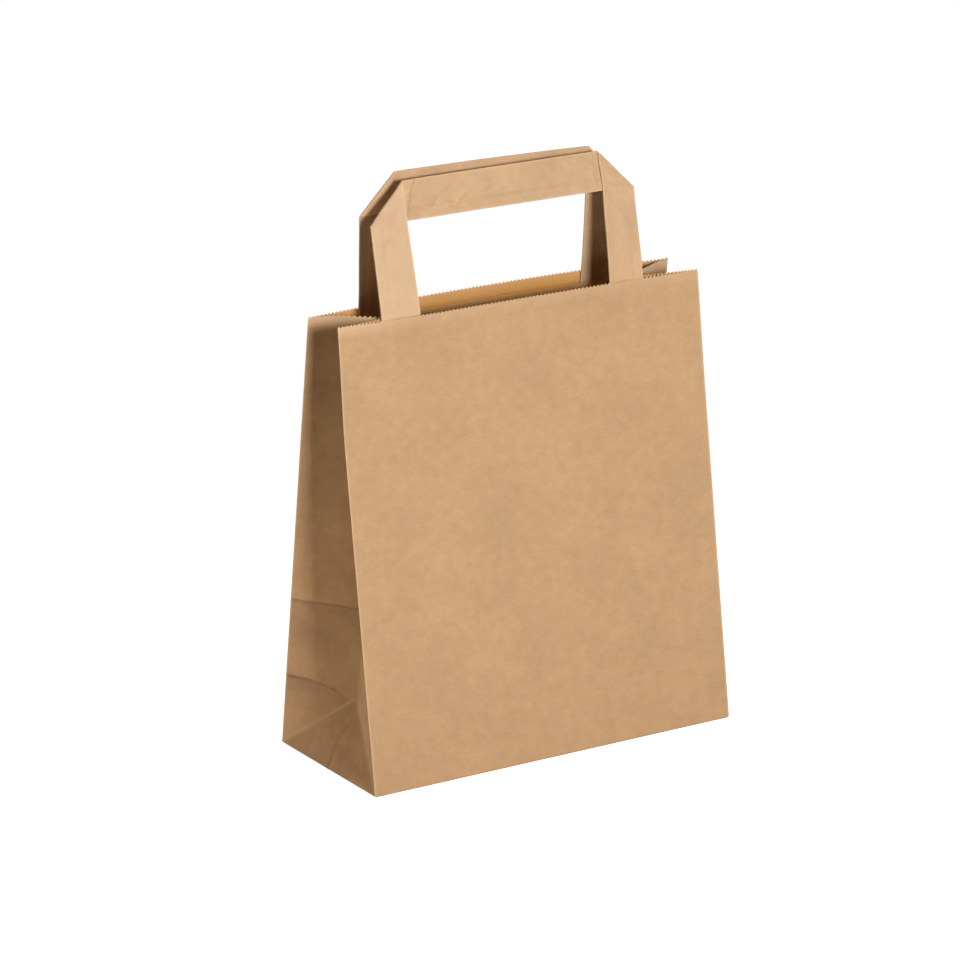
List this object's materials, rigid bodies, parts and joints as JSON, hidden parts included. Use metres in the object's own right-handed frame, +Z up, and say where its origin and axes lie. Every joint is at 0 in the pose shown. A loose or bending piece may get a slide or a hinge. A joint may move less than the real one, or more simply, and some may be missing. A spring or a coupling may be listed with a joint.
{
  "type": "paper carrier bag",
  "caption": "Small block-bottom kraft paper carrier bag with side gussets, a pinked top edge and flat folded paper tape handles glued inside the mouth.",
  "frame": {"origin": "middle of the base, on the surface that the bag stands on", "axes": "+Z up, +X to the bag's right seen from the front, the front panel faces -Y"},
  "size_m": [0.18, 0.08, 0.2558],
  "materials": {
    "kraft_paper": "uncoated brown kraft paper with fine fibre flecks",
    "handle_paper": "slightly lighter, layered and pressed kraft paper tape",
    "patch_paper": "uncoated kraft paper, glued flat"
  },
  "bodies": {
    "root": {"bag_body": "kraft_paper", "front_handle": "handle_paper", "rear_handle": "handle_paper", "front_handle_patch": "patch_paper", "rear_handle_patch": "patch_paper"}
  },
  "joints": []
}
